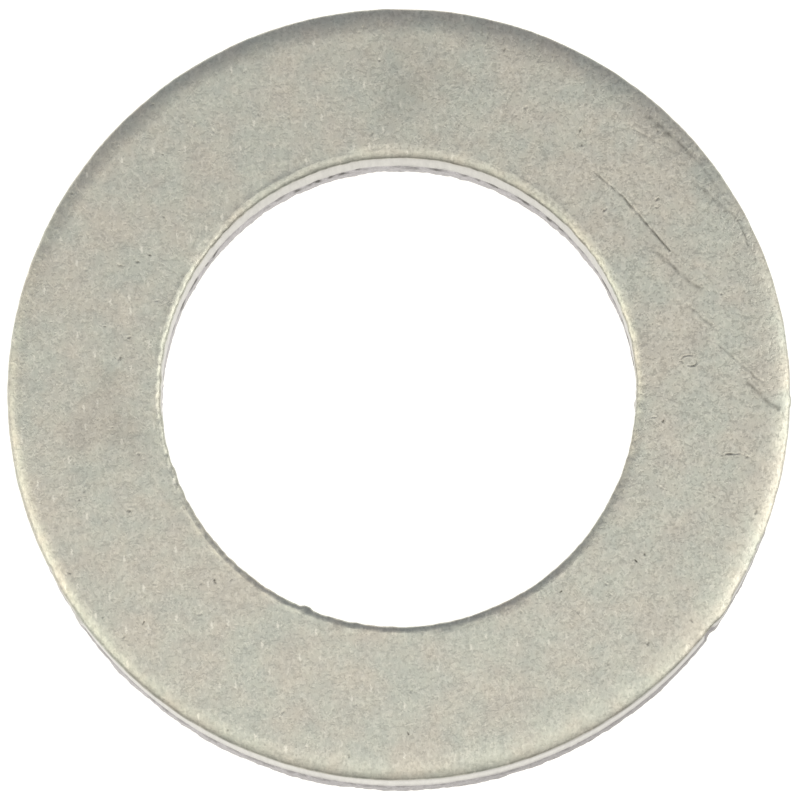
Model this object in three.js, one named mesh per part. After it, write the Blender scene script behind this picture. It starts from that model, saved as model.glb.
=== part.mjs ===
// Small-series flat washer for a 16 mm bolt: one ring, blanked and pierced from steel strip in one stroke.
// Millimetres, +Z up. The origin is the centre of the bottom face, and +Z runs along the bore axis.
//
// A compound die shears the rim and the bore from the same side, so both walls look alike from the top down:
// a rolled-over edge, a straight burnished band, then a torn band that leans away from the cut.
import * as THREE from "three";

// Driving dimensions
const OUTER_DIAMETER = 28;
const BORE_DIAMETER = 17;
const THICKNESS = 2.7;

// Rolled-over top edges: how far each reaches in across the face, and how far it drops below it
const RIM_ROLL_WIDTH = 0.7;
const RIM_ROLL_DROP = 0.2;
const BORE_ROLL_WIDTH = 0.4;
const BORE_ROLL_DROP = 0.16;

// Torn band at the bottom of each wall: its height, and how far it leans back at the bottom face
const TORN_HEIGHT = 1;
const TORN_LEAN = 0.04;

// Bottom edges, broken by tumbling
const EDGE_BREAK = 0.06;

// Fineness of the round surfaces
const RING_STEPS = 144;
const ROLL_STEPS = 5;

// Derived radii
const rimRadius = OUTER_DIAMETER / 2;
const boreRadius = BORE_DIAMETER / 2;

// Quarter of an ellipse from the flat face, at radius wallRadius plus or minus the width, down to the wall.
// side is +1 where the wall faces outwards and -1 where it faces the axis.
function rolledEdge(wallRadius, side, width, drop) {
  const points = [];
  for (let i = 0; i <= ROLL_STEPS; i += 1) {
    const turn = (i / ROLL_STEPS) * (Math.PI / 2);
    const radius = wallRadius - side * width * (1 - Math.sin(turn));
    const height = THICKNESS - drop * (1 - Math.cos(turn));
    points.push(new THREE.Vector2(radius, height));
  }
  return points;
}

// The lower half of a wall: the foot of the burnished band, the torn band and the broken bottom edge.
function tornEdge(wallRadius, side) {
  const footRadius = wallRadius - side * TORN_LEAN;
  return [
    new THREE.Vector2(wallRadius, TORN_HEIGHT),
    new THREE.Vector2(footRadius, EDGE_BREAK),
    new THREE.Vector2(footRadius - side * EDGE_BREAK, 0),
  ];
}

// A sheared wall from the top face down to the bottom face.
function shearedWall(wallRadius, side, rollWidth, rollDrop) {
  return [...rolledEdge(wallRadius, side, rollWidth, rollDrop), ...tornEdge(wallRadius, side)];
}

// Closed section of the ring in (radius, height): up the rim, across the top face and down the bore.
function ringSection() {
  const rim = shearedWall(rimRadius, 1, RIM_ROLL_WIDTH, RIM_ROLL_DROP).reverse();
  const bore = shearedWall(boreRadius, -1, BORE_ROLL_WIDTH, BORE_ROLL_DROP);
  return [...rim, ...bore, rim[0].clone()];
}

function zincPlatedSteel() {
  return new THREE.MeshStandardMaterial({
    name: "zinc_plated_steel",
    color: new THREE.Color("#bdbbaf"),
    roughness: 0.5,
    metalness: 1,
  });
}

function flatWasher() {
  const ring = new THREE.LatheGeometry(ringSection(), RING_STEPS);
  ring.rotateX(Math.PI / 2); // the lathe turns about Y: stand its axis up along Z
  const mesh = new THREE.Mesh(ring, zincPlatedSteel());
  mesh.name = "flat_washer";
  return mesh;
}

const washer = new THREE.Group();
washer.name = "washer";
washer.add(flatWasher());

export default washer;
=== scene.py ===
"""A stamped flat washer in zinc-plated steel, on a light table under soft boxes.

The ring is one lathe-like skin, laid hoop by hoop along its section, then marked by the press,
the barrel and use.
Geometry is worked out in millimetres and written in metres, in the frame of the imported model.
"""
import math
import random
from collections import namedtuple

import bmesh
import bpy
from bpy.props import FloatProperty, FloatVectorProperty, IntProperty, PointerProperty
from mathutils import Matrix, Vector, kdtree, noise


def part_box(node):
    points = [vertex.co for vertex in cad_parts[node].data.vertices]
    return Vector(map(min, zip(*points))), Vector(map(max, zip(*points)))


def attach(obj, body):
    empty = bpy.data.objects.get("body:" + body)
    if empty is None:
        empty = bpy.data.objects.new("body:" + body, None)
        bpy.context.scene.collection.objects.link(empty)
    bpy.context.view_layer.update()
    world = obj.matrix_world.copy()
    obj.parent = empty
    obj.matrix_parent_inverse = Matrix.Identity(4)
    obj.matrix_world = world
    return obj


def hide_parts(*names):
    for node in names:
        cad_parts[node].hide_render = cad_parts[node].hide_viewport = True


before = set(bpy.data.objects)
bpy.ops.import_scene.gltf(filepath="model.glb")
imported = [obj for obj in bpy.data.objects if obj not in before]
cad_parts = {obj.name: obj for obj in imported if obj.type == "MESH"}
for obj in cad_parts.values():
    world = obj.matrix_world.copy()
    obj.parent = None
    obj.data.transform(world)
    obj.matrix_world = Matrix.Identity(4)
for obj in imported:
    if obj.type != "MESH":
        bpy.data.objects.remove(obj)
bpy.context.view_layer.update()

bl_info = {
    "name": "Flat Washer",
    "version": (1, 0, 0),
    "blender": (4, 5, 0),
    "location": "View3D > Sidebar > Washer",
    "description": "Makes a stamped, zinc-plated flat washer and a light table to show it on",
    "category": "Add Mesh",
}

MM = 0.001
NODE = "flat_washer"

LOW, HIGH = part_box(NODE)
RIM_DIAMETER = HIGH.x - LOW.x
BORE_DIAMETER = 2 * min(math.hypot(v.co.x, v.co.y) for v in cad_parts[NODE].data.vertices)
THICKNESS = HIGH.z - LOW.z


def linear(hex_colour):
    """An sRGB hex colour as the linear red, green and blue that shaders take."""
    channels = [int(hex_colour[i:i + 2], 16) / 255 for i in (1, 3, 5)]
    return tuple(c / 12.92 if c <= 0.04045 else ((c + 0.055) / 1.055) ** 2.4 for c in channels)


# --------------------------------------------------------------------------------------------------
# What a user would change
# --------------------------------------------------------------------------------------------------


class WASHER_PG_ring(bpy.types.PropertyGroup):
    """Sizes of the ring and of what the press left on its edges."""

    rim_diameter: FloatProperty(
        name="Outside diameter", description="Across the rim", default=RIM_DIAMETER, unit="LENGTH")
    bore_diameter: FloatProperty(
        name="Hole diameter", description="Across the bore", default=BORE_DIAMETER, unit="LENGTH")
    thickness: FloatProperty(
        name="Thickness", description="Of the steel strip", default=THICKNESS, unit="LENGTH")
    rim_roll_width: FloatProperty(
        name="Rim roll width", description="How far the rolled edge reaches in from the rim",
        default=0.9 * MM, unit="LENGTH")
    rim_roll_drop: FloatProperty(
        name="Rim roll drop", description="How far the rolled edge falls at the rim",
        default=0.24 * MM, unit="LENGTH")
    bore_roll_width: FloatProperty(
        name="Bore roll width", description="How far the rolled edge reaches out from the bore",
        default=0.33 * MM, unit="LENGTH")
    bore_roll_drop: FloatProperty(
        name="Bore roll drop", description="How far the rolled edge falls at the bore",
        default=0.17 * MM, unit="LENGTH")
    torn_height: FloatProperty(
        name="Torn height", description="Height of the band that tore instead of being cut",
        default=1.15 * MM, unit="LENGTH")
    edge_break: FloatProperty(
        name="Edge break", description="Radius that the barrel left on the bottom edges",
        default=0.06 * MM, unit="LENGTH")
    seed: IntProperty(name="Seed", description="Picks another washer out of the barrel", default=4, min=0)


class WASHER_PG_finish(bpy.types.PropertyGroup):
    """Colours of the plating."""

    cool_plate: FloatVectorProperty(
        name="Cool plate", description="Tint of the clear passivation where it is thin",
        subtype="COLOR", min=0, max=1, default=linear("#c4c6bc"))
    warm_plate: FloatVectorProperty(
        name="Warm plate", description="Tint of the clear passivation where it is thicker",
        subtype="COLOR", min=0, max=1, default=linear("#c9c5ba"))
    burnished: FloatVectorProperty(
        name="Burnished band", description="Colour of the plated band that the die rubbed bright",
        subtype="COLOR", min=0, max=1, default=linear("#c1bfba"))
    torn: FloatVectorProperty(
        name="Torn band", description="Colour of the plated band that tore",
        subtype="COLOR", min=0, max=1, default=linear("#bfbcbf"))
    # The dark colour of pits, scratches, stains and nicks, and of the painted shade on the rolled edges and
    # burnished bands.
    soil: FloatVectorProperty(
        name="Soil", description="Grime left in scratches, pits and under the roll",
        subtype="COLOR", min=0, max=1, default=linear("#4a4742"))


class WASHER_PG_stage(bpy.types.PropertyGroup):
    """Camera and light."""

    tilt: FloatProperty(
        name="Tilt", description="How far the camera leans from straight above",
        default=math.radians(9.6), unit="ROTATION")
    roll: FloatProperty(
        name="Roll", description="How far the camera is turned about its own line of sight",
        default=math.radians(-3.4), unit="ROTATION")
    distance: FloatProperty(
        name="Distance", description="From the camera to the middle of the ring",
        default=280 * MM, unit="LENGTH")
    picture_width: FloatProperty(
        name="Picture width", description="Width of the view at the ring", default=28.73 * MM, unit="LENGTH")
    brightness: FloatProperty(
        name="Brightness", description="Multiplies every soft box", default=1.0, min=0)
    table_glow: FloatProperty(
        name="Table glow", description="Light that the table itself gives", default=1.0, min=0)


# --------------------------------------------------------------------------------------------------
# Materials
# --------------------------------------------------------------------------------------------------


def add_node(tree, kind, inputs=None, **settings):
    """Adds a node, sets its properties, and fills its inputs with values or links from other sockets."""
    node = tree.nodes.new(kind)
    for name, value in settings.items():
        setattr(node, name, value)
    for socket, value in (inputs or {}).items():
        if isinstance(value, bpy.types.NodeSocket):
            tree.links.new(value, node.inputs[socket])
        else:
            node.inputs[socket].default_value = value
    return node


def per_mm(size):
    """Texture scale, in cycles a metre, for a pattern that repeats every size millimetres."""
    return 1 / (size * MM)


def new_material(name):
    """An empty node material, its Principled shader and its object coordinates."""
    material = bpy.data.materials.new(name)
    material.use_nodes = True
    tree = material.node_tree
    tree.nodes.clear()
    shader = add_node(tree, "ShaderNodeBsdfPrincipled")
    add_node(tree, "ShaderNodeOutputMaterial", {"Surface": shader.outputs[0]})
    place = add_node(tree, "ShaderNodeTexCoord").outputs["Object"]
    return material, tree, shader, place


def opaque(colour):
    """A colour with its alpha."""
    return (*colour, 1.0)


def specks(tree, place, across, apart, kept, stretch):
    """A factor that is 1 on small ragged specks and 0 between them.

    across and apart are their width and spacing in millimetres, kept is the share of places that has one, and
    stretch draws them out along Y.
    """
    wobble = add_node(tree, "ShaderNodeTexNoise", {"Vector": place, "Scale": per_mm(across), "Detail": 1.0})
    centred = add_node(tree, "ShaderNodeVectorMath", {
        0: wobble.outputs["Color"], 1: (0.5, 0.5, 0.5)}, operation="SUBTRACT")
    ragged = add_node(tree, "ShaderNodeVectorMath", {
        0: centred.outputs[0], 1: (1.8 * across * MM,) * 3, 2: place}, operation="MULTIPLY_ADD")
    drawn_out = add_node(tree, "ShaderNodeMapping", {
        "Vector": ragged.outputs[0], "Scale": (1, 1 / stretch, 1)})
    cells = add_node(tree, "ShaderNodeTexVoronoi", {
        "Vector": drawn_out.outputs[0], "Scale": per_mm(apart)}, voronoi_dimensions="2D")
    core = add_node(tree, "ShaderNodeMapRange", {
        "Value": cells.outputs["Distance"],
        "From Min": 0.62 * across / apart, "From Max": 0.3 * across / apart})
    draw = add_node(tree, "ShaderNodeSeparateXYZ", {0: cells.outputs["Color"]})
    chosen = add_node(tree, "ShaderNodeMapRange", {
        "Value": draw.outputs[0], "From Min": kept, "From Max": kept * 0.4})
    return add_node(tree, "ShaderNodeMath", {
        0: core.outputs[0], 1: chosen.outputs[0]}, operation="MULTIPLY").outputs[0]


def squiggles(tree, place, across, apart, salt):
    """A factor that is 1 on short curved strokes, and 0 between them.

    across and apart are their width and spacing in millimetres, and salt picks the pattern.
    """
    moved = add_node(tree, "ShaderNodeMapping", {
        "Vector": place, "Location": (salt * apart * MM, 0, 0)})
    field = add_node(tree, "ShaderNodeTexNoise", {
        "Vector": moved.outputs[0], "Scale": per_mm(apart), "Detail": 1.0})
    level = add_node(tree, "ShaderNodeMath", {0: field.outputs["Fac"], 1: 0.5}, operation="SUBTRACT")
    away = add_node(tree, "ShaderNodeMath", {0: level.outputs[0]}, operation="ABSOLUTE")
    line = add_node(tree, "ShaderNodeMapRange", {
        "Value": away.outputs[0], "From Min": 0.5 * across / apart, "From Max": 0.15 * across / apart})
    breaks = add_node(tree, "ShaderNodeMapRange", {
        "Value": field.outputs["Color"], "From Min": 0.5, "From Max": 0.56})
    return add_node(tree, "ShaderNodeMath", {
        0: line.outputs[0], 1: breaks.outputs[0]}, operation="MULTIPLY").outputs[0]


def tumbled_zinc(finish):
    """Steel strip, barrel tumbled, zinc plated and clear passivated: pale warm grey with a fine matt grain.

    The barrel's stones leave pits under 0.1 mm wide and short bright strokes along the strip, and the
    passivation varies in thickness over a millimetre or two, so the grey drifts between warm and cool.
    """
    material, tree, shader, place = new_material("tumbled_zinc_plate")
    tint = add_node(tree, "ShaderNodeTexNoise", {
        "Vector": place, "Scale": per_mm(2.0), "Detail": 3.0, "Roughness": 0.6})
    tint_share = add_node(tree, "ShaderNodeMapRange", {
        "Value": tint.outputs["Fac"], "From Min": 0.38, "From Max": 0.62})
    plate = add_node(tree, "ShaderNodeMix", {
        0: tint_share.outputs[0], 6: opaque(finish.cool_plate), 7: opaque(finish.warm_plate)},
        data_type="RGBA")
    # Strokes run with the strip, so the grain is drawn out by two thirds that way.
    strokes = add_node(tree, "ShaderNodeMapping", {"Vector": place, "Scale": (1, 0.6, 1)})
    grain = add_node(tree, "ShaderNodeTexNoise", {
        "Vector": strokes.outputs[0], "Scale": per_mm(0.1), "Detail": 2.0, "Roughness": 0.7})
    shade = add_node(tree, "ShaderNodeMapRange", {
        "Value": grain.outputs["Fac"],
        "From Min": 0.3, "From Max": 0.7, "To Min": 0.935, "To Max": 1.055})
    clouds = add_node(tree, "ShaderNodeTexNoise", {
        "Vector": place, "Scale": per_mm(0.7), "Detail": 2.0, "Roughness": 0.5})
    cloud_share = add_node(tree, "ShaderNodeMapRange", {
        "Value": clouds.outputs["Fac"], "From Min": 0.35, "From Max": 0.65})
    cloud_tint = add_node(tree, "ShaderNodeMix", {
        0: cloud_share.outputs[0], 6: (0.96, 0.965, 0.975, 1.0), 7: (1.04, 1.035, 1.025, 1.0)},
        data_type="RGBA")
    clouded = add_node(tree, "ShaderNodeVectorMath", {
        0: plate.outputs[2], 1: cloud_tint.outputs[2]}, operation="MULTIPLY")
    grained = add_node(tree, "ShaderNodeVectorMath", {
        0: clouded.outputs[0], "Scale": shade.outputs[0]}, operation="SCALE")
    pits = specks(tree, place, 0.07, 0.2, 0.5, 1.3)
    scores = squiggles(tree, place, 0.045, 0.15, 3)
    hollow = add_node(tree, "ShaderNodeMath", {0: pits, 1: scores}, operation="MAXIMUM")
    worn = add_node(tree, "ShaderNodeAttribute", attribute_name="worn")
    hollow_depth = add_node(tree, "ShaderNodeMapRange", {
        "Value": worn.outputs["Fac"], "To Min": 0.14, "To Max": 0.225})
    hollow_shade = add_node(tree, "ShaderNodeMath", {
        0: hollow.outputs[0], 1: hollow_depth.outputs[0]}, operation="MULTIPLY")
    dark = add_node(tree, "ShaderNodeMix", {
        0: hollow_shade.outputs[0], 6: grained.outputs[0], 7: opaque(finish.soil)}, data_type="RGBA")
    rubbed = add_node(tree, "ShaderNodeMath", {
        0: specks(tree, place, 0.06, 0.3, 0.35, 3.0),
        1: squiggles(tree, strokes.outputs[0], 0.045, 0.15, 8)}, operation="MAXIMUM").outputs[0]
    bright = add_node(tree, "ShaderNodeMath", {0: rubbed, 1: 0.17}, operation="MULTIPLY")
    # Wider strokes stand out, most of all where the plate isn't worn.
    bold_share = add_node(tree, "ShaderNodeMapRange", {
        "Value": worn.outputs["Fac"], "To Min": 0.55, "To Max": 0.2})
    bold = add_node(tree, "ShaderNodeMath", {
        0: specks(tree, place, 0.09, 0.6, 0.7, 3.0), 1: bold_share.outputs[0]}, operation="MULTIPLY")
    brightest = add_node(tree, "ShaderNodeMath", {
        0: bright.outputs[0], 1: bold.outputs[0]}, operation="MAXIMUM")
    lit = add_node(tree, "ShaderNodeMix", {
        0: brightest.outputs[0], 6: dark.outputs[2], 7: opaque(linear("#f6f3e8"))}, data_type="RGBA")
    # Darkens by the skin's attribute: stains, marks and nicks, and painted shade on the rolled edges.
    soil = add_node(tree, "ShaderNodeAttribute", attribute_name="soil")
    soiled_and_shaded = add_node(tree, "ShaderNodeMix", {
        0: soil.outputs["Fac"], 6: lit.outputs[2], 7: opaque(finish.soil)}, data_type="RGBA")
    polish = add_node(tree, "ShaderNodeAttribute", attribute_name="polish")
    haze = add_node(tree, "ShaderNodeMapRange", {
        "Value": grain.outputs["Fac"], "From Min": 0.3, "From Max": 0.7, "To Min": 0.5, "To Max": 0.42})
    roughness = add_node(tree, "ShaderNodeMix", {
        0: polish.outputs["Fac"], 2: haze.outputs[0], 3: 0.26}, data_type="FLOAT")
    sunk = add_node(tree, "ShaderNodeMath", {
        0: grain.outputs["Fac"], 1: hollow.outputs[0]}, operation="SUBTRACT")
    relief = add_node(tree, "ShaderNodeMath", {0: sunk.outputs[0], 1: rubbed}, operation="ADD")
    bump = add_node(tree, "ShaderNodeBump", {
        "Height": relief.outputs[0], "Strength": 1.0, "Distance": 0.0018 * MM})
    tree.links.new(soiled_and_shaded.outputs[2], shader.inputs["Base Color"])
    tree.links.new(roughness.outputs[0], shader.inputs["Roughness"])
    tree.links.new(bump.outputs[0], shader.inputs["Normal"])
    shader.inputs["Metallic"].default_value = 1.0
    return material


def burnished_zinc(finish):
    """The band that the die rubbed smooth, then plated: bright, with faint upright streaks."""
    material, tree, shader, place = new_material("burnished_zinc_plate")
    # Streaks run up the wall, about 0.14 mm apart round it, so they are stretched tenfold in height.
    upright = add_node(tree, "ShaderNodeMapping", {"Vector": place, "Scale": (1, 1, 0.1)})
    streaks = add_node(tree, "ShaderNodeTexNoise", {
        "Vector": upright.outputs[0], "Scale": per_mm(0.14), "Detail": 2.0, "Roughness": 0.6})
    shade = add_node(tree, "ShaderNodeMapRange", {
        "Value": streaks.outputs["Fac"], "From Min": 0.3, "From Max": 0.7, "To Min": 0.87, "To Max": 1.08})
    streaked = add_node(tree, "ShaderNodeVectorMath", {
        0: finish.burnished, "Scale": shade.outputs[0]}, operation="SCALE")
    # Darkens by the skin's attribute: nicks, and painted shade over the band.
    soil = add_node(tree, "ShaderNodeAttribute", attribute_name="soil")
    soiled_and_shaded = add_node(tree, "ShaderNodeMix", {
        0: soil.outputs["Fac"], 6: streaked.outputs[0], 7: opaque(finish.soil)}, data_type="RGBA")
    bump = add_node(tree, "ShaderNodeBump", {
        "Height": streaks.outputs["Fac"], "Strength": 1.0, "Distance": 0.006 * MM})
    tree.links.new(soiled_and_shaded.outputs[2], shader.inputs["Base Color"])
    tree.links.new(bump.outputs[0], shader.inputs["Normal"])
    shader.inputs["Metallic"].default_value = 1.0
    shader.inputs["Roughness"].default_value = 0.28
    return material


def torn_zinc(finish):
    """The band where the steel tore, then plated: a coarse grey break with a faint violet cast."""
    material, tree, shader, place = new_material("torn_zinc_plate")
    facets = add_node(tree, "ShaderNodeTexNoise", {
        "Vector": place, "Scale": per_mm(0.12), "Detail": 3.0, "Roughness": 0.65})
    shade = add_node(tree, "ShaderNodeMapRange", {
        "Value": facets.outputs["Fac"], "From Min": 0.3, "From Max": 0.7, "To Min": 0.72, "To Max": 1.1})
    torn = add_node(tree, "ShaderNodeVectorMath", {
        0: finish.torn, "Scale": shade.outputs[0]}, operation="SCALE")
    soil = add_node(tree, "ShaderNodeAttribute", attribute_name="soil")
    soiled_and_shaded = add_node(tree, "ShaderNodeMix", {
        0: soil.outputs["Fac"], 6: torn.outputs[0], 7: opaque(finish.soil)}, data_type="RGBA")
    bump = add_node(tree, "ShaderNodeBump", {
        "Height": facets.outputs["Fac"], "Strength": 1.0, "Distance": 0.03 * MM})
    tree.links.new(soiled_and_shaded.outputs[2], shader.inputs["Base Color"])
    tree.links.new(bump.outputs[0], shader.inputs["Normal"])
    shader.inputs["Metallic"].default_value = 1.0
    shader.inputs["Roughness"].default_value = 0.5
    return material


def opal_acrylic(stage):
    """The table's top, opal acrylic lit from below: an even white that shows no shadow."""
    material, _, shader, _ = new_material("opal_acrylic")
    shader.inputs["Base Color"].default_value = opaque(linear("#7c7c7a"))
    shader.inputs["Roughness"].default_value = 0.6
    shader.inputs["Emission Color"].default_value = opaque(linear("#fffdf8"))
    shader.inputs["Emission Strength"].default_value = stage.table_glow
    return material


# --------------------------------------------------------------------------------------------------
# The ring's skin
# --------------------------------------------------------------------------------------------------

HOOP_STEPS = 900
FACE_ROWS = 24
ROLL_ROWS = 14
BURNISH_ROWS = 3
TORN_ROWS = 7
EDGE_ROWS = 3
UNDERSIDE_ROWS = 6

# Zones of the section from the top face down each wall. Between two rows, the skin is of the later zone.
ZONES = ("face", "roll", "burnish", "torn", "edge", "underside")

# The side that rubbed against other washers in the bag.
WORN_SIDE = math.radians(15)

# Painted shade: a dark line low on each rolled edge, strongest where the edge faces the front: how dark the
# line is, where its middle lies from the face (0) to the wall (1), and how far it spreads. The fourth is how
# fast the hollows under the tear line darken.
ROLL_LINE_SHADE = 0.52
ROLL_LINE_PLACE = 0.8
ROLL_LINE_SPREAD = 0.25
TEAR_DARKENING = 3.0

# The darkest that the rest gets. Painted shade: the thin shade and the dark outline on a rolled edge, and the
# shade on the burnished band. Then the hollows of the torn band, and its darkening towards the rim's lower
# right.
RIM_FRONT_SHADE, BORE_FRONT_SHADE = 0.05, 0.12
RIM_OUTLINE_SHADE, BORE_OUTLINE_SHADE = 0.95, 0.16
RIM_BAND_SHADE, BORE_BAND_SHADE = 0.6, 0.09
RIM_HOLLOW, BORE_HOLLOW = 0.35, 0.85
RIM_TORN_DARKENING = 0.35

Row = namedtuple("Row", "zone wall share")
# side is +1 where the wall faces outwards and -1 where it faces the axis. draft is how far the wall draws
# back for each millimetre down, on the right and left, where the punch leaned. flare is how far the tear
# stands out on the near side, where the strip was pulled.
Wall = namedtuple("Wall", "radius side roll_width roll_drop draft flare")


def random_height(x, y, z, size, salt):
    """Smooth random height from -1 to 1, in bumps about size millimetres across. salt picks the pattern."""
    return noise.noise(Vector((x / size + 7.3 * salt, y / size + 3.1 * salt, z / size + 5.7 * salt)))


# A knock on a wall: where it is, in degrees round the ring, how wide it is, how far it pushes the wall in (or
# out, below 0), and the height where it ends, and last how dark it has become.
Nick = namedtuple("Nick", "angle width depth top grime")

RIM_NICKS = (
    Nick(angle=-38.0, width=1.1, depth=-0.09, top=2.7, grime=0.35),
    Nick(angle=-41.0, width=0.6, depth=0.24, top=2.3, grime=0.5),
    Nick(angle=-27.0, width=0.25, depth=0.05, top=2.7, grime=0.7),
    Nick(angle=-5.0, width=0.4, depth=-0.04, top=2.7, grime=0.5),
    Nick(angle=-148.0, width=0.45, depth=-0.09, top=2.4, grime=0.3),
    Nick(angle=-156.0, width=0.25, depth=0.05, top=2.7, grime=0.5),
)
BORE_NICKS = (
    Nick(angle=-116.0, width=0.4, depth=-0.1, top=2.7, grime=0.1),
    Nick(angle=-6.0, width=0.25, depth=-0.08, top=2.4, grime=0.2),
    Nick(angle=173.0, width=0.3, depth=-0.05, top=2.4, grime=0.0),
)

# A soft stain on the face: where it is, how far it spreads, and how dark it is in the middle.
Stain = namedtuple("Stain", "place spread strength")

STAINS = (
    Stain(place=(1.0, 11.0), spread=1.5, strength=0.15),
    Stain(place=(-10.5, -1.0), spread=1.2, strength=0.2),
    Stain(place=(-10.5, 0.5), spread=1.0, strength=0.13),
)


class Section:
    """The ring's section: where each of its rows stands at each angle round the ring."""

    def __init__(self, sizes):
        self.thickness = sizes.thickness / MM
        self.torn_height = sizes.torn_height / MM
        self.edge_break = sizes.edge_break / MM
        self.seed = sizes.seed
        self.rim = Wall(
            sizes.rim_diameter / MM / 2, side=1, roll_width=sizes.rim_roll_width / MM,
            roll_drop=sizes.rim_roll_drop / MM, draft=0.06, flare=0.08)
        self.bore = Wall(
            sizes.bore_diameter / MM / 2, side=-1, roll_width=sizes.bore_roll_width / MM,
            roll_drop=sizes.bore_roll_drop / MM, draft=0.025, flare=0.0)

    def rows(self):
        """Every row in order: out over the face, down the rim, in under the ring and up the bore."""
        face = [Row("face", None, i / FACE_ROWS) for i in range(FACE_ROWS + 1)]
        underside = [Row("underside", None, i / UNDERSIDE_ROWS) for i in range(1, UNDERSIDE_ROWS)]
        return face + self.wall_rows(self.rim) + underside + self.wall_rows(self.bore)[::-1]

    def wall_rows(self, wall):
        """The rows of one wall from the face down to the underside."""
        counts = (("roll", ROLL_ROWS), ("burnish", BURNISH_ROWS), ("torn", TORN_ROWS), ("edge", EDGE_ROWS))
        return [Row(zone, wall, i / count) for zone, count in counts for i in range(1, count + 1)]

    def point(self, row, angle):
        """Where a row stands at an angle, in millimetres."""
        radius, height = getattr(self, row.zone)(row, angle)
        return Vector((radius * math.cos(angle), radius * math.sin(angle), height))

    def roll_width(self, wall, angle):
        """The die sat a little off centre, so the rolled edge is wider on one side. It wavers too."""
        x = wall.radius * math.cos(angle)
        y = wall.radius * math.sin(angle)
        off_centre = 0.32 * math.cos(angle - math.radians(25))
        waver = 0.15 * random_height(x, y, 0, 2.5, self.seed)
        return wall.roll_width * (1 + off_centre + waver)

    def face(self, row, angle):
        """Flat, but for a little unevenness from the barrel."""
        inner = self.bore.radius + self.roll_width(self.bore, angle)
        outer = self.rim.radius - self.roll_width(self.rim, angle)
        radius = inner + (outer - inner) * row.share
        x = radius * math.cos(angle)
        y = radius * math.sin(angle)
        uneven = 0.006 * random_height(x, y, 0, 2.8, self.seed + 1)
        return radius, self.thickness + uneven

    def roll(self, row, angle):
        """Quarter of an ellipse from the face to the wall, laid in steps of slope, and knocked about."""
        wall = row.wall
        width = self.roll_width(wall, angle)
        slope = min(row.share ** 1.6 * math.pi / 2, math.radians(89.9))
        turn = math.atan(width / wall.roll_drop * math.tan(slope))
        reach = width * (1 - math.sin(turn))
        drop = wall.roll_drop * (1 - math.cos(turn))
        radius = wall.radius - wall.side * reach
        x = radius * math.cos(angle)
        y = radius * math.sin(angle)
        knocks = 0.016 * random_height(x, y, drop, 0.7, self.seed + 2)
        fine_knocks = 0.011 * random_height(x, y, drop, 0.28, self.seed + 3)
        fine_knocks += 0.005 * random_height(x, y, drop, 0.13, self.seed + 12)
        if wall is self.bore:
            fine_knocks *= 1.8 + 1.4 * max(0.0, -math.cos(angle))
        knocks += fine_knocks
        fade = math.sin(row.share * math.pi / 2)
        radius += wall.side * knocks * fade * math.sin(slope)
        height = self.thickness - drop + knocks * fade * math.cos(slope)
        return radius - wall.side * self.nicked(wall, angle, height) * math.sin(slope), height

    def tear_line(self, wall, angle):
        """Height of the wavering, jagged line where the cut gave way to the tear."""
        x = wall.radius * math.cos(angle)
        y = wall.radius * math.sin(angle)
        waver = 0.12 * random_height(x, y, 0, 1.8, self.seed + 4)
        jags = 0.08 * random_height(x, y, 0, 0.45, self.seed + 5)
        jags += 0.05 * random_height(x, y, 0, 0.18, self.seed + 6)
        if wall is self.bore:
            return self.torn_height + waver + 1.6 * jags
        # The rim was cut deeper on the near side, to the right.
        cut_deeper = 0.35 * max(0.0, math.cos(angle + math.radians(50)))
        return self.torn_height + waver + jags - cut_deeper

    def nick_share(self, wall, nick, angle, height):
        """1 in the middle of a nick, falling to 0 at its ends. Lower down, it narrows and wanders off."""
        turn = (angle - math.radians(nick.angle) + math.pi) % (2 * math.pi) - math.pi
        wander = 0.3 * nick.width * random_height(nick.angle, 0, height, 0.5, self.seed + 15)
        depth = max(0.0, nick.top - height) / self.thickness
        away = 2 * (turn * wall.radius + wander) / (nick.width * (1 - 0.5 * depth))
        return math.exp(-away ** 4) * max(0.0, 1 - depth ** 2)

    def nicks(self, wall):
        """The nicks of one wall."""
        return RIM_NICKS if wall is self.rim else BORE_NICKS

    def nicked(self, wall, angle, height):
        """How far the nicks have pushed the wall in at a height."""
        push = 0.0
        for nick in self.nicks(wall):
            below = min(1.0, max(0.0, (nick.top - height) / 0.3 + 0.3))
            push += nick.depth * self.nick_share(wall, nick, angle, height) * below
        return push

    def stained(self, place):
        """How dark the face is where it is stained."""
        patchy = 0.8 + 0.8 * random_height(*place, 0.9, self.seed + 17)
        darkest = 0.0
        for stain in STAINS:
            away = (place.xy - Vector(stain.place)).length_squared / stain.spread ** 2
            darkest = max(darkest, stain.strength * patchy * math.exp(-away))
        return darkest

    def roll_shade(self, row, angle, place):
        """Painted shade on a rolled edge: a dark line low down, a thin shade where the edge faces the front,
        and a dark outline next to the wall.
        """
        near_side = min(1.0, max(0.0, (-row.wall.side * math.sin(angle) - 0.45) / 0.25))
        # Painted shade: a dark line low on the edge, strongest where the edge faces the front.
        line = math.exp(-((row.share - ROLL_LINE_PLACE) / ROLL_LINE_SPREAD) ** 2)
        dark = ROLL_LINE_SHADE * line * (0.15 + 0.85 * near_side)
        dark *= 0.75 + 0.6 * random_height(*place, 0.6, self.seed + 13)
        # Painted shade: a thin shade where the edge faces the front, and a dark outline next to the wall on
        # the rim's right and the bore's left, where the wall is seen edge on.
        if row.wall is self.rim:
            sided_darkness = RIM_FRONT_SHADE
            outline = RIM_OUTLINE_SHADE * row.share ** 7 * max(0.0, math.cos(angle + 0.4))
        else:
            sided_darkness = BORE_FRONT_SHADE
            outline = BORE_OUTLINE_SHADE * row.share * max(0.0, -math.cos(angle))
        return max(dark, sided_darkness * min(1.0, 4 * row.share) * near_side, outline)

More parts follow.
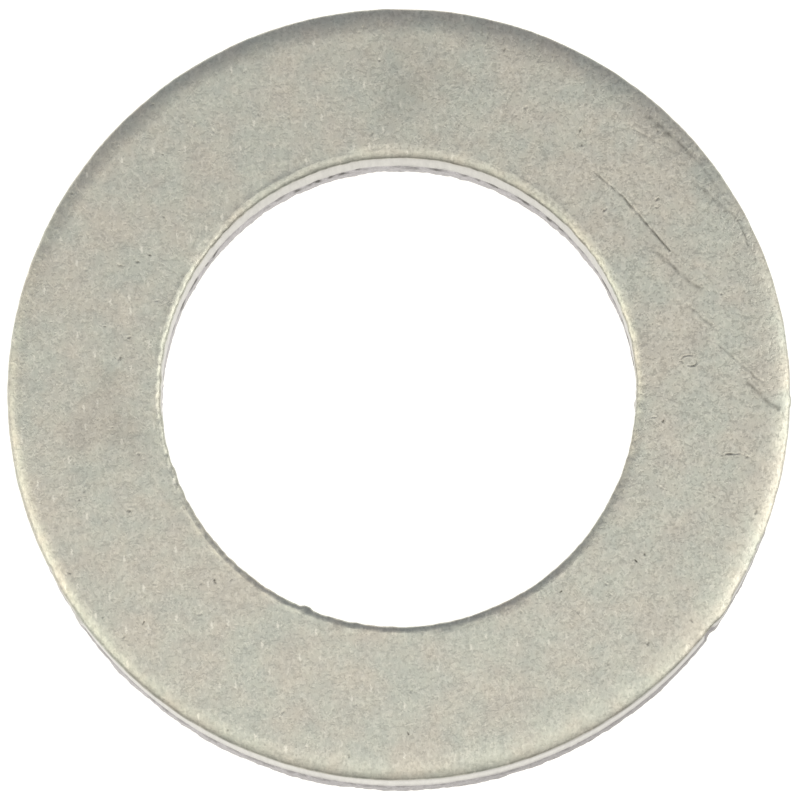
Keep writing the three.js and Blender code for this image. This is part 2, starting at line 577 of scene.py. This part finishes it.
    def torn_darkness(self, row, angle, place):
        """How dark a torn band is: hollows under the tear line, and darker towards the rim's lower right."""
        hollow = math.exp(-((row.share - 0.2) / 0.22) ** 2)
        hollow *= max(0.0, random_height(*place, 0.35, self.seed + 14) + 0.18)
        hollow *= min(1.0, max(0.15, 2 * random_height(*place, 2.2, self.seed + 16) + 0.8))
        if row.wall is self.bore:
            return min(BORE_HOLLOW, TEAR_DARKENING * hollow)
        sided_darkness = RIM_TORN_DARKENING * max(0.0, math.cos(angle + 0.7)) ** 2
        return max(min(RIM_HOLLOW, TEAR_DARKENING * hollow), sided_darkness)

    def grime(self, row, angle, place):
        """How dark the skin is: in stains, in painted shade on a rolled edge and a burnished band, under the
        tear line, and in nicks.
        """
        if row.zone == "face":
            return self.stained(place)
        if row.wall is None:
            return 0.0
        dark = 0.0
        fade = max(0.0, 1.6 * place.z / self.thickness - 0.6)
        if row.zone == "roll":
            dark = self.roll_shade(row, angle, place)
            fade = row.share ** 8
        elif row.zone == "burnish":
            # Painted shade on the burnished band: on the rim's right, where the wall is seen edge on, and all
            # round the bore, which gets less light.
            dark = RIM_BAND_SHADE * max(0.0, math.cos(angle + 0.1)) ** 3 if row.wall is self.rim else BORE_BAND_SHADE
        elif row.zone == "torn":
            dark = self.torn_darkness(row, angle, place)
        nicked = max(
            nick.grime * self.nick_share(row.wall, nick, angle, place.z) for nick in self.nicks(row.wall))
        return max(dark, nicked * fade)

    def drawn_back(self, wall, angle, height):
        """How far the wall has drawn back by the time it comes down to a height."""
        depth = self.thickness - wall.roll_drop - height
        return wall.draft * abs(math.cos(angle)) ** 9 * depth

    def burnish(self, row, angle):
        """Straight down the wall, with faint upright streaks from the die."""
        wall = row.wall
        x = wall.radius * math.cos(angle)
        y = wall.radius * math.sin(angle)
        top = self.thickness - wall.roll_drop
        height = top + (self.tear_line(wall, angle) - top) * row.share
        streak_depth = 0.003 if wall is self.rim else 0.007
        streak = streak_depth * random_height(x, y, 0.2 * height, 0.25, self.seed + 7)
        away = self.drawn_back(wall, angle, height) + self.nicked(wall, angle, height) - streak
        return wall.radius - wall.side * away, height

    def torn(self, row, angle):
        """Starts with a ledge under the cut, then leans back or out, coarse all over."""
        wall = row.wall
        line = self.tear_line(wall, angle)
        height = line + (self.edge_break - line) * row.share
        x = wall.radius * math.cos(angle)
        y = wall.radius * math.sin(angle)
        ledge = 0.035 * math.exp(-((row.share - 0.12) / 0.12) ** 2)
        coarse = 0.03 * random_height(x, y, height, 0.5, self.seed + 8)
        coarse += 0.026 * random_height(x, y, height, 0.17, self.seed + 9)
        flare = wall.flare * max(0.0, -math.sin(angle)) ** 2 * row.share
        away = self.drawn_back(wall, angle, height) + self.nicked(wall, angle, height)
        return wall.radius - wall.side * (away + ledge - coarse - flare), height

    def edge(self, row, angle):
        """The bottom corner, rounded off by the barrel but still ragged."""
        wall = row.wall
        start, _ = self.torn(Row("torn", wall, 1.0), angle)
        x = wall.radius * math.cos(angle)
        y = wall.radius * math.sin(angle)
        ragged = 0.035 * random_height(x, y, 0, 0.22, self.seed + 10)
        turn = row.share * math.pi / 2
        radius = start - wall.side * self.edge_break * (1 - math.cos(turn))
        height = self.edge_break * (1 - math.sin(turn)) + ragged * (1 - row.share)
        return radius, height

    def underside(self, row, angle):
        """Flat, from one bottom corner to the other, but for a little unevenness of its own."""
        outer, _ = self.edge(Row("edge", self.rim, 1.0), angle)
        inner, _ = self.edge(Row("edge", self.bore, 1.0), angle)
        radius = outer + (inner - outer) * row.share
        x = radius * math.cos(angle)
        y = radius * math.sin(angle)
        fade = min(1, 6 * row.share, 6 * (1 - row.share))
        return radius, 0.004 * fade * (1 + random_height(x, y, 0, 2.8, self.seed + 11))


def lay_skin(mesh, section):
    """Lays the ring's skin hoop by hoop and closes it. Each face gets the material of its zone."""
    rows = section.rows()
    angles = [2 * math.pi * step / HOOP_STEPS for step in range(HOOP_STEPS)]
    polish = mesh.verts.layers.float.new("polish")
    soil = mesh.verts.layers.float.new("soil")
    worn = mesh.verts.layers.float.new("worn")
    hoops = [[mesh.verts.new(section.point(row, angle)) for angle in angles] for row in rows]
    for row, hoop in zip(rows, hoops):
        shine = row.share ** 2 if row.zone == "roll" else float(row.zone == "edge")
        for angle, vertex in zip(angles, hoop):
            vertex[polish] = shine
            # Darkness for stains and nicks, and painted shade on the rolled edges and burnished bands.
            vertex[soil] = section.grime(row, angle, vertex.co)
            vertex[worn] = max(0.0, math.cos(angle - WORN_SIDE))
    slots = {"face": 0, "roll": 0, "burnish": 1, "torn": 2, "edge": 0, "underside": 0}
    for i, row in enumerate(rows):
        after = (i + 1) % len(rows)
        zone = max(row.zone, rows[after].zone, key=ZONES.index)
        for step in range(HOOP_STEPS):
            ahead = (step + 1) % HOOP_STEPS
            quad = mesh.faces.new((hoops[i][step], hoops[after][step], hoops[after][ahead], hoops[i][ahead]))
            quad.material_index = slots[zone]
            quad.smooth = True


# A groove, pit or ding in the top face: the line along its bottom, in millimetres, with its width and depth,
# and how dark it makes the skin there.
Mark = namedtuple("Mark", "start end width depth soil")

# How many pits the barrel's stones left.
DINGS = 110


def hand_marks():
    """The scratches and the round print that this washer picked up in handling."""
    gouge = dict(width=0.07, depth=0.011, soil=0.85)
    hairline = dict(width=0.06, depth=0.009, soil=0.68)
    faint = dict(width=0.08, depth=0.006, soil=0.37)
    smear = dict(width=0.16, depth=0.004, soil=0.5)
    return [
        Mark((7.5, 7.5), (8.5, 6.5), **hairline),
        Mark((8.5, 6.5), (10.0, 4.5), **gouge),
        Mark((9.5, 4.5), (11.0, 3.0), **smear),
        Mark((10.5, 2.5), (11.5, 1.5), **faint),
        Mark((11.5, 1.0), (13.0, -0.5), **faint),
        Mark((12.5, -0.5), (13.5, -1.5), **smear),
        Mark((9.0, 9.0), (10.5, 8.0), **faint),
        Mark((9.5, 9.5), (11.0, 8.0), **smear),
        Mark((11.0, 8.0), (12.0, 6.5), **faint),
        Mark((11.0, 7.0), (12.5, 5.5), **faint),
        Mark((12.5, 5.5), (13.0, 4.0), **hairline),
        Mark((11.5, -3.0), (12.0, -3.0), **hairline),
        *ring_mark((10.4, 0.5), 0.25, 50, 215, **hairline),
        *ring_mark((10.5, 0.4), 0.2, 240, 400, **hairline),
    ]


def ring_mark(middle, radius, start, end, **press):
    """The print of a round corner: short marks along a flattened arc, from start to end in degrees."""
    steps = 6
    turns = [math.radians(start + (end - start) * step / steps) for step in range(steps + 1)]
    places = [(middle[0] + radius * math.cos(t), middle[1] + 0.7 * radius * math.sin(t)) for t in turns]
    return [Mark(a, b, **press) for a, b in zip(places, places[1:])]


def barrel_dings(section, count, generator):
    """Pits from the barrel's stones, scattered evenly over the face and the rolled edges."""
    dings = []
    inner = section.bore.radius + 0.3
    outer = section.rim.radius - 0.2
    for _ in range(count):
        radius = math.sqrt(generator.uniform(inner ** 2, outer ** 2))
        angle = generator.uniform(0, 2 * math.pi)
        place = Vector((radius * math.cos(angle), radius * math.sin(angle)))
        lean = generator.uniform(0, math.pi)
        reach = generator.uniform(0, 0.12)
        width = generator.uniform(0.04, 0.075)
        end = place + reach * Vector((math.cos(lean), math.sin(lean)))
        dings.append(Mark(tuple(place), tuple(end), width, 0.15 * width, generator.uniform(0.0, 1.0)))
    return dings


def away_from(mark, place):
    """How far a place is from the mark's line."""
    start = Vector(mark.start)
    along = Vector(mark.end) - start
    share = 0.0
    if along.length > 0:
        share = min(1.0, max(0.0, (place - start).dot(along) / along.length_squared))
    return (place - start - share * along).length


def near_marks(mesh, marks, margin, lowest):
    """For each mark, the vertices of the top face that stand within reach of it."""
    top = [v for v in mesh.verts if v.co.z > lowest]
    tree = kdtree.KDTree(len(top))
    for index, vertex in enumerate(top):
        tree.insert((vertex.co.x, vertex.co.y, 0), index)
    tree.balance()
    found = []
    for mark in marks:
        start, end = Vector((*mark.start, 0)), Vector((*mark.end, 0))
        steps = 1 + int((end - start).length / 0.1)
        reach = margin + 1.6 * mark.width
        hits = set()
        for step in range(steps + 1):
            hits.update(index for _, index, _ in tree.find_range(start.lerp(end, step / steps), reach))
        found.append([top[index] for index in sorted(hits)])
    return found


def press_marks(mesh, marks, section):
    """Divides the skin finely round each mark, then pushes it in, with a low lip of moved metal beside it."""
    lowest = section.thickness - 0.1
    for margin in (0.12, 0.06):
        close = {vertex for group in near_marks(mesh, marks, margin, lowest) for vertex in group}
        edges = [edge for edge in mesh.edges if edge.verts[0] in close and edge.verts[1] in close]
        bmesh.ops.subdivide_edges(mesh, edges=edges, cuts=1, use_grid_fill=True)
    soil = mesh.verts.layers.float["soil"]
    for mark, group in zip(marks, near_marks(mesh, marks, 0.0, lowest)):
        for vertex in group:
            x, y, z = vertex.co
            waver = Vector((random_height(x, y, 0, 0.3, 21), random_height(x, y, 0, 0.3, 22)))
            away = away_from(mark, Vector((x, y)) + waver * 0.4 * mark.width)
            groove = math.exp(-(2 * away / mark.width) ** 2)
            lip = math.exp(-((away - mark.width) / (0.35 * mark.width)) ** 2)
            vertex.co.z = z + mark.depth * (0.15 * lip - groove)
            patchy = max(0.1, 0.7 + 1.1 * random_height(x, y, 0, 0.25, 23))
            vertex[soil] = max(vertex[soil], min(1.0, mark.soil * groove * patchy))


def washer_ring(sizes, finish):
    """The whole ring as one object."""
    section = Section(sizes)
    mesh = bmesh.new()
    lay_skin(mesh, section)
    marks = hand_marks() + barrel_dings(section, DINGS, random.Random(sizes.seed))
    press_marks(mesh, marks, section)
    bmesh.ops.recalc_face_normals(mesh, faces=mesh.faces)
    bmesh.ops.scale(mesh, vec=(MM, MM, MM), verts=mesh.verts)
    data = bpy.data.meshes.new("washer_ring")
    mesh.to_mesh(data)
    mesh.free()
    for material in (tumbled_zinc(finish), burnished_zinc(finish), torn_zinc(finish)):
        data.materials.append(material)
    ring = bpy.data.objects.new("washer_ring", data)
    bpy.context.scene.collection.objects.link(ring)
    return ring


# --------------------------------------------------------------------------------------------------
# The stage
# --------------------------------------------------------------------------------------------------

# In metres: the light table's width, and how far it stands below the ring, so that the two never touch.
TABLE_WIDTH = 1.2
TABLE_GAP = 0.005 * MM

# In millimetres: the camera's sensor, and how far the view's middle is from the ring's, to the right and up.
SENSOR_WIDTH = 36.0
AIM = (0.03, -0.12)

# How far each soft box stands from the ring, in metres.
BOX_DISTANCE = 0.6


def light_table(stage):
    """A wide square sheet of opal acrylic that the ring lies on."""
    mesh = bmesh.new()
    bmesh.ops.create_grid(mesh, x_segments=2, y_segments=2, size=TABLE_WIDTH / 2)
    data = bpy.data.meshes.new("light_table")
    mesh.to_mesh(data)
    mesh.free()
    data.materials.append(opal_acrylic(stage))
    table = bpy.data.objects.new("light_table", data)
    bpy.context.scene.collection.objects.link(table)
    table.location.z = LOW.z - TABLE_GAP


def soft_box(name, azimuth, elevation, width, radiance, colour):
    """A square soft box that faces the ring. Its power is worked out from how bright its cloth is."""
    lamp = bpy.data.lights.new(name, "AREA")
    lamp.shape = "SQUARE"
    lamp.size = width
    lamp.color = linear(colour)
    lamp.energy = radiance * math.pi * width ** 2
    box = bpy.data.objects.new(name, lamp)
    bpy.context.scene.collection.objects.link(box)
    turn = math.radians(azimuth)
    rise = math.radians(elevation)
    away = Vector((math.cos(rise) * math.cos(turn), math.cos(rise) * math.sin(turn), math.sin(rise)))
    box.location = BOX_DISTANCE * away
    box.rotation_euler = away.to_track_quat("Z", "Y").to_euler()


def lights(stage):
    """A small soft box overhead and one on either side. None stands behind, so the ring's far side is dim."""
    level = stage.brightness
    soft_box("overhead_box", 250, 83, width=0.27, radiance=1.45 * level, colour="#fffcf7")
    soft_box("right_box", -5, 44, width=0.46, radiance=1.9 * level, colour="#fffcf2")
    soft_box("left_box", 187, 44, width=0.42, radiance=1.6 * level, colour="#fffae8")


def room():
    """Pale walls on both sides, a ceiling that dims to the back, a grey wall there, and a dark one in front.

    The dark one stands low, and draws a dark line low on the rolled edges that face it.
    """
    world = bpy.data.worlds.new("room")
    world.use_nodes = True
    tree = world.node_tree
    tree.nodes.clear()
    direction = add_node(tree, "ShaderNodeTexCoord").outputs["Generated"]
    axes = add_node(tree, "ShaderNodeSeparateXYZ", {0: direction})
    sideways = add_node(tree, "ShaderNodeMath", {0: axes.outputs["X"]}, operation="ABSOLUTE")
    beside = add_node(tree, "ShaderNodeMapRange", {
        "Value": sideways.outputs[0], "From Min": 0.45, "From Max": 0.95}, interpolation_type="SMOOTHSTEP")
    behind = add_node(tree, "ShaderNodeMapRange", {
        "Value": axes.outputs["Y"], "From Min": -0.02, "From Max": 0.34}, interpolation_type="SMOOTHSTEP")
    facing = add_node(tree, "ShaderNodeMix", {
        0: behind.outputs[0], 6: opaque(linear("#dbd9d3")), 7: opaque(linear("#7f8390"))},
        data_type="RGBA")
    far_behind = add_node(tree, "ShaderNodeMapRange", {
        "Value": axes.outputs["Y"], "From Min": 0.42, "From Max": 0.8}, interpolation_type="SMOOTHSTEP")
    around = add_node(tree, "ShaderNodeMix", {
        0: far_behind.outputs[0], 6: facing.outputs[2], 7: opaque(linear("#a0a2a8"))}, data_type="RGBA")
    pale = add_node(tree, "ShaderNodeMix", {
        0: beside.outputs[0], 6: around.outputs[2], 7: opaque(linear("#ebe9e3"))}, data_type="RGBA")
    ahead = add_node(tree, "ShaderNodeMapRange", {
        "Value": axes.outputs["Y"], "From Min": -0.28, "From Max": -0.65}, interpolation_type="SMOOTHSTEP")
    low = add_node(tree, "ShaderNodeMapRange", {
        "Value": axes.outputs["Z"], "From Min": 0.36, "From Max": 0.08}, interpolation_type="SMOOTHSTEP")
    dark_share = add_node(tree, "ShaderNodeMath", {
        0: ahead.outputs[0], 1: low.outputs[0]}, operation="MULTIPLY")
    walls = add_node(tree, "ShaderNodeMix", {
        0: dark_share.outputs[0], 6: pale.outputs[2], 7: opaque(linear("#2c2c2e"))}, data_type="RGBA")
    seen = add_node(tree, "ShaderNodeBackground", {"Color": walls.outputs[2], "Strength": 1.0})
    backdrop = add_node(tree, "ShaderNodeBackground", {
        "Color": opaque(linear("#ffffff")), "Strength": 1.2})
    straight = add_node(tree, "ShaderNodeLightPath").outputs["Is Camera Ray"]
    blend = add_node(tree, "ShaderNodeMixShader", {
        0: straight, 1: seen.outputs[0], 2: backdrop.outputs[0]})
    add_node(tree, "ShaderNodeOutputWorld", {0: blend.outputs[0]})
    bpy.context.scene.world = world


def camera(stage):
    """Almost straight above and a long way off, so the bore's far wall and the rim's near wall just show."""
    lens = bpy.data.cameras.new("camera")
    lens.sensor_width = SENSOR_WIDTH
    lens.lens = SENSOR_WIDTH * stage.distance / stage.picture_width
    lens.clip_start = 0.01
    eye = bpy.data.objects.new("camera", lens)
    bpy.context.scene.collection.objects.link(eye)
    aim = Vector((AIM[0] * MM, AIM[1] * MM, (LOW.z + HIGH.z) / 2))
    lean = Matrix.Rotation(stage.tilt, 4, "X") @ Matrix.Rotation(stage.roll, 4, "Z")
    eye.matrix_world = Matrix.Translation(aim) @ lean @ Matrix.Translation((0, 0, stage.distance))
    bpy.context.scene.camera = eye


# --------------------------------------------------------------------------------------------------
# Operators and panel
# --------------------------------------------------------------------------------------------------


class WASHER_OT_ring(bpy.types.Operator):
    """Make the stamped and plated ring"""

    bl_idname = "washer.ring"
    bl_label = "Make Ring"

    def execute(self, context):
        piece = washer_ring(context.scene.washer_ring, context.scene.washer_finish)
        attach(piece, "root")
        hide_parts(NODE)
        return {"FINISHED"}


class WASHER_OT_stage(bpy.types.Operator):
    """Make the light table, the soft boxes, the room and the camera"""

    bl_idname = "washer.stage"
    bl_label = "Make Stage"

    def execute(self, context):
        stage = context.scene.washer_stage
        light_table(stage)
        lights(stage)
        room()
        camera(stage)
        context.scene.view_settings.view_transform = "Standard"
        return {"FINISHED"}


class WASHER_PT_panel(bpy.types.Panel):
    """Lists the washer's sizes and colours, and what makes its pieces"""

    bl_idname = "WASHER_PT_panel"
    bl_label = "Flat Washer"
    bl_space_type = "VIEW_3D"
    bl_region_type = "UI"
    bl_category = "Washer"

    def draw(self, context):
        scene = context.scene
        for title, group in (("Ring", scene.washer_ring), ("Finish", scene.washer_finish),
                             ("Stage", scene.washer_stage)):
            box = self.layout.box()
            box.label(text=title)
            for name in group.__annotations__:
                box.prop(group, name)
        self.layout.operator(WASHER_OT_ring.bl_idname)
        self.layout.operator(WASHER_OT_stage.bl_idname)


CLASSES = (
    WASHER_PG_ring,
    WASHER_PG_finish,
    WASHER_PG_stage,
    WASHER_OT_ring,
    WASHER_OT_stage,
    WASHER_PT_panel,
)


def register():
    for kind in CLASSES:
        bpy.utils.register_class(kind)
    bpy.types.Scene.washer_ring = PointerProperty(type=WASHER_PG_ring)
    bpy.types.Scene.washer_finish = PointerProperty(type=WASHER_PG_finish)
    bpy.types.Scene.washer_stage = PointerProperty(type=WASHER_PG_stage)


def unregister():
    del bpy.types.Scene.washer_stage
    del bpy.types.Scene.washer_finish
    del bpy.types.Scene.washer_ring
    for kind in reversed(CLASSES):
        bpy.utils.unregister_class(kind)


def main():
    """Makes the ring and the stage."""
    register()
    bpy.ops.washer.ring()
    bpy.ops.washer.stage()


if __name__ == "__main__":
    main()
